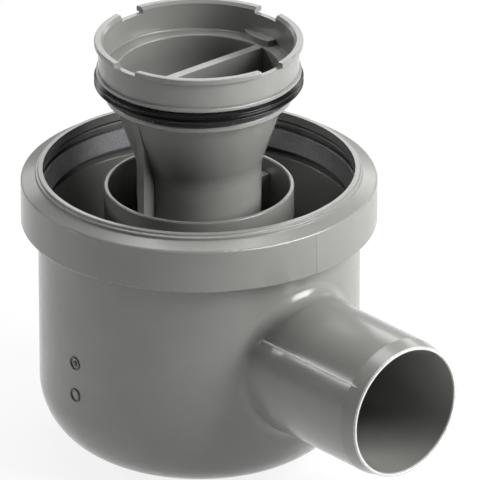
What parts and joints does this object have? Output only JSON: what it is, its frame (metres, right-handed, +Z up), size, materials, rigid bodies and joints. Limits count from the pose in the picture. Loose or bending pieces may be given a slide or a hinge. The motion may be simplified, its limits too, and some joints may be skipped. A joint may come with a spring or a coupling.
{
  "type": "corner floor drain",
  "caption": "Round plastic floor drain pot with a side outlet spigot, a rubber-sealed pipe socket on top and a lift-out funnel insert that dips into an inner water trap cup.",
  "frame": {"origin": "centre of the pot's flat base", "axes": "+Z up the socket's axis, +X along the outlet spigot"},
  "size_m": [0.1723, 0.126, 0.1536],
  "materials": {
    "grey_plastic": "moulded satin",
    "black_rubber": "matte"
  },
  "bodies": {
    "root": {"drain_body": "grey_plastic", "trap_cup": "grey_plastic", "socket_seal": "black_rubber", "trap_insert": "grey_plastic", "insert_seal": "black_rubber"}
  },
  "joints": []
}
